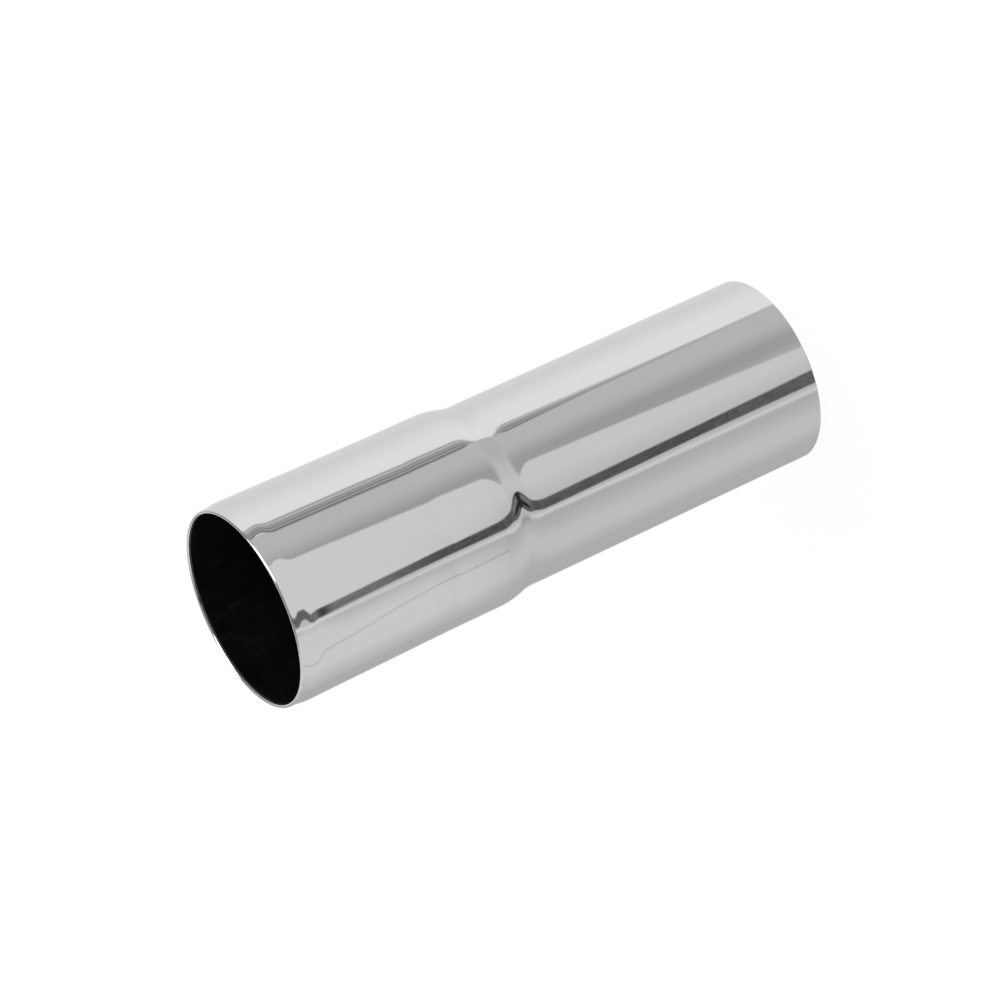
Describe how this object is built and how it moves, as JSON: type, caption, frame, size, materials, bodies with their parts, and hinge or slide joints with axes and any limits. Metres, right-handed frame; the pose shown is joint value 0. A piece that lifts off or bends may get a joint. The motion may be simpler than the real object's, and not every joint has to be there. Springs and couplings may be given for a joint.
{
  "type": "sink drain extension tube",
  "caption": "Chrome-plated waste tube with a plain end below and a wider, slightly tapered socket above, joined by a smooth rounded shoulder, with a lip turned in at the mouth.",
  "frame": {"origin": "centre of the sawn plain end, on the plane that the tube stands on", "axes": "+Z along the tube's axis from the plain end up to the socket's mouth; X and Y are any two directions square to it, as the tube is round"},
  "size_m": [0.0348, 0.0348, 0.103],
  "materials": {
    "chromed_tube": "bright chrome plating outside, dark unplated metal inside"
  },
  "bodies": {
    "root": {"extension_tube": "chromed_tube"}
  },
  "joints": []
}
